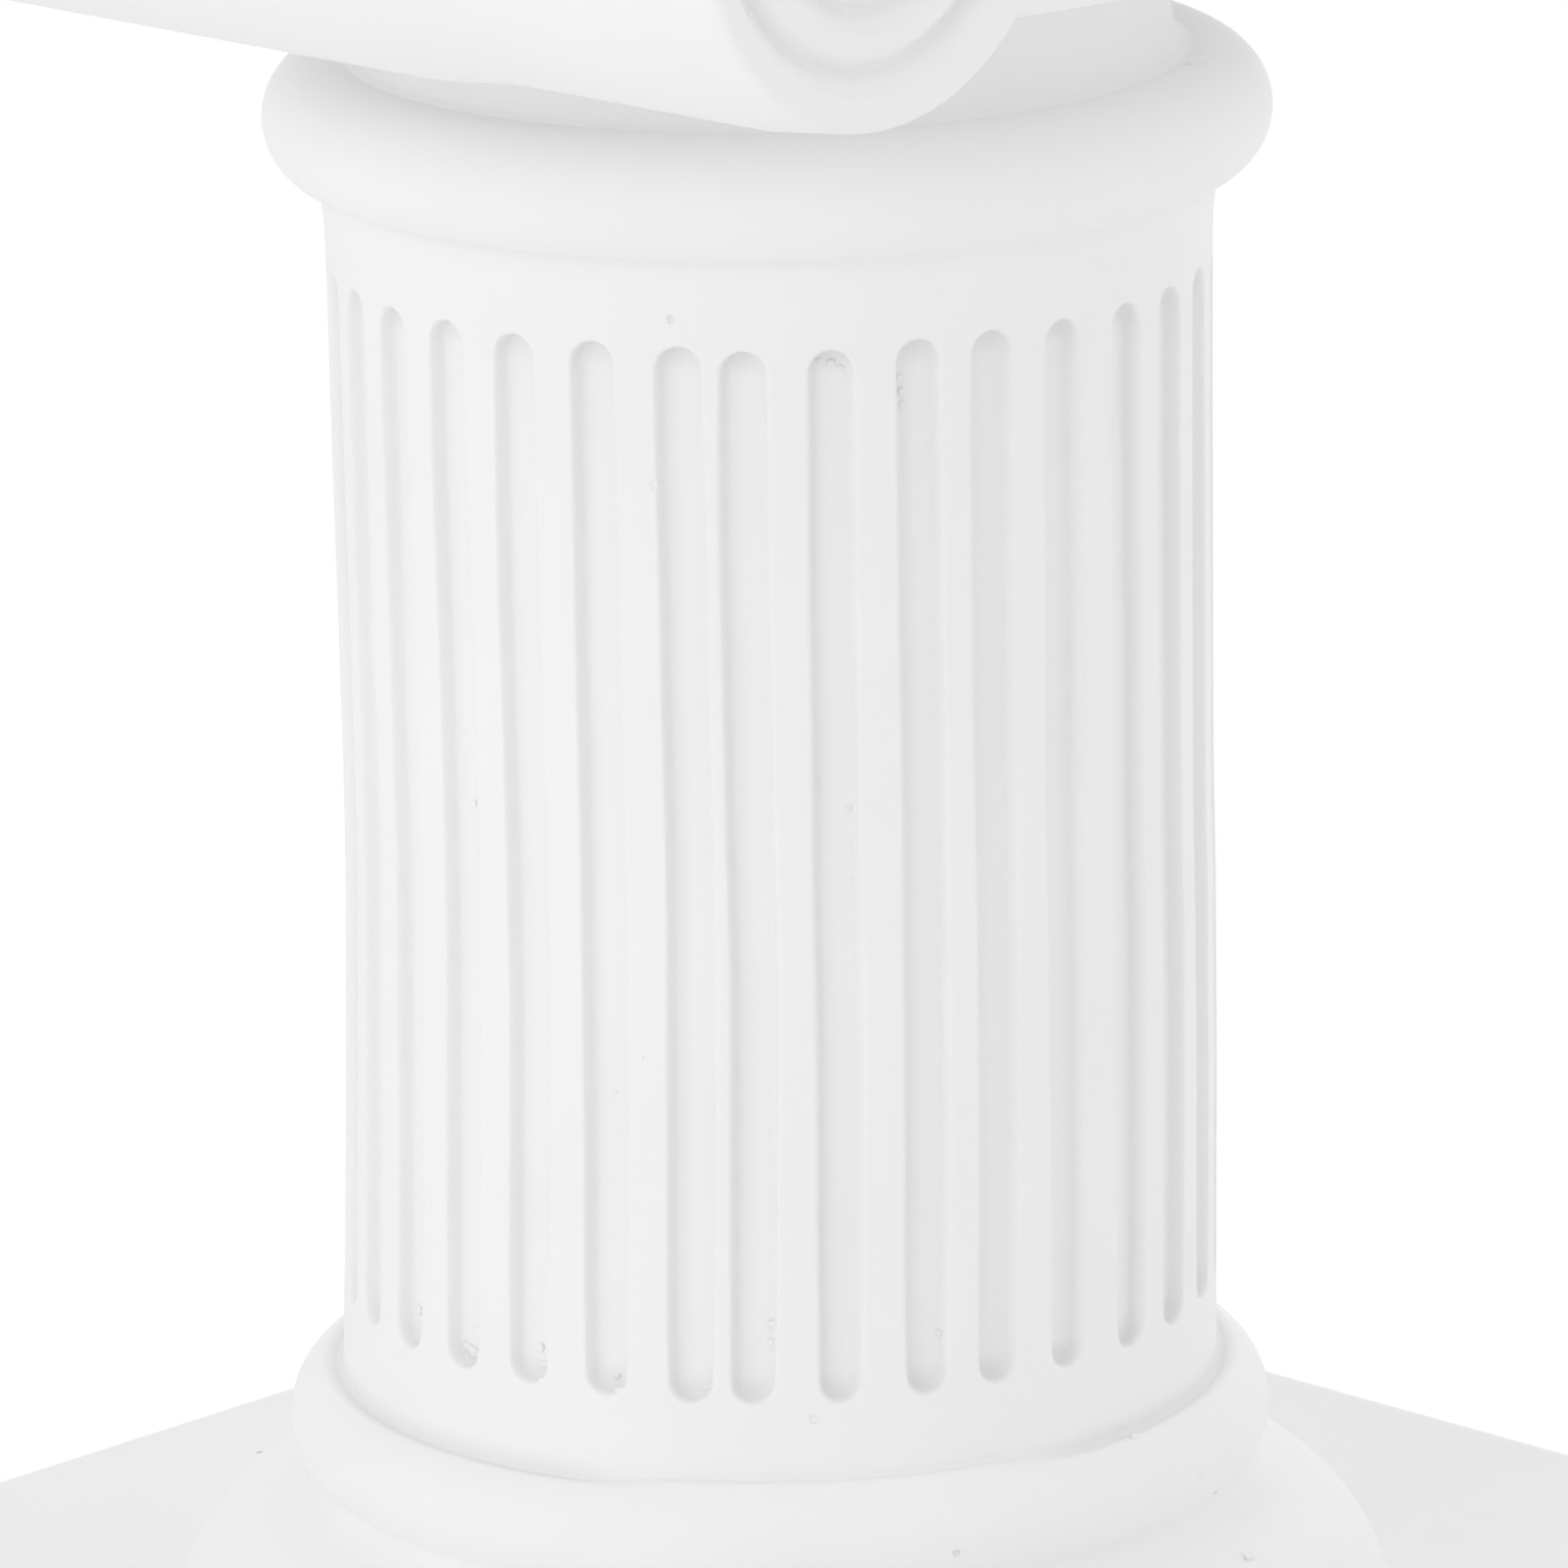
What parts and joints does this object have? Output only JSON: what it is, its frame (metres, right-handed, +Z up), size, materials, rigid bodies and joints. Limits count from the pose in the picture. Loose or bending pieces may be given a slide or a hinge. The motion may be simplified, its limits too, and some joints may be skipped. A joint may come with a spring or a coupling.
{
  "type": "roman pillar ornament",
  "caption": "Small cast white pillar ornament: square plinth, rounded base, fluted shaft, ring, neck and scrolled capital with a flat square top.",
  "frame": {"origin": "centre of the plinth's underside, on the axis of the shaft", "axes": "+Z up along the shaft; the capital's scroll faces look along -Y and +Y and its bolsters run along Y"},
  "size_m": [0.1144, 0.1144, 0.1512],
  "materials": {
    "plaster": "matte, uncoated white cast plaster"
  },
  "bodies": {
    "root": {"pillar": "plaster"}
  },
  "joints": []
}
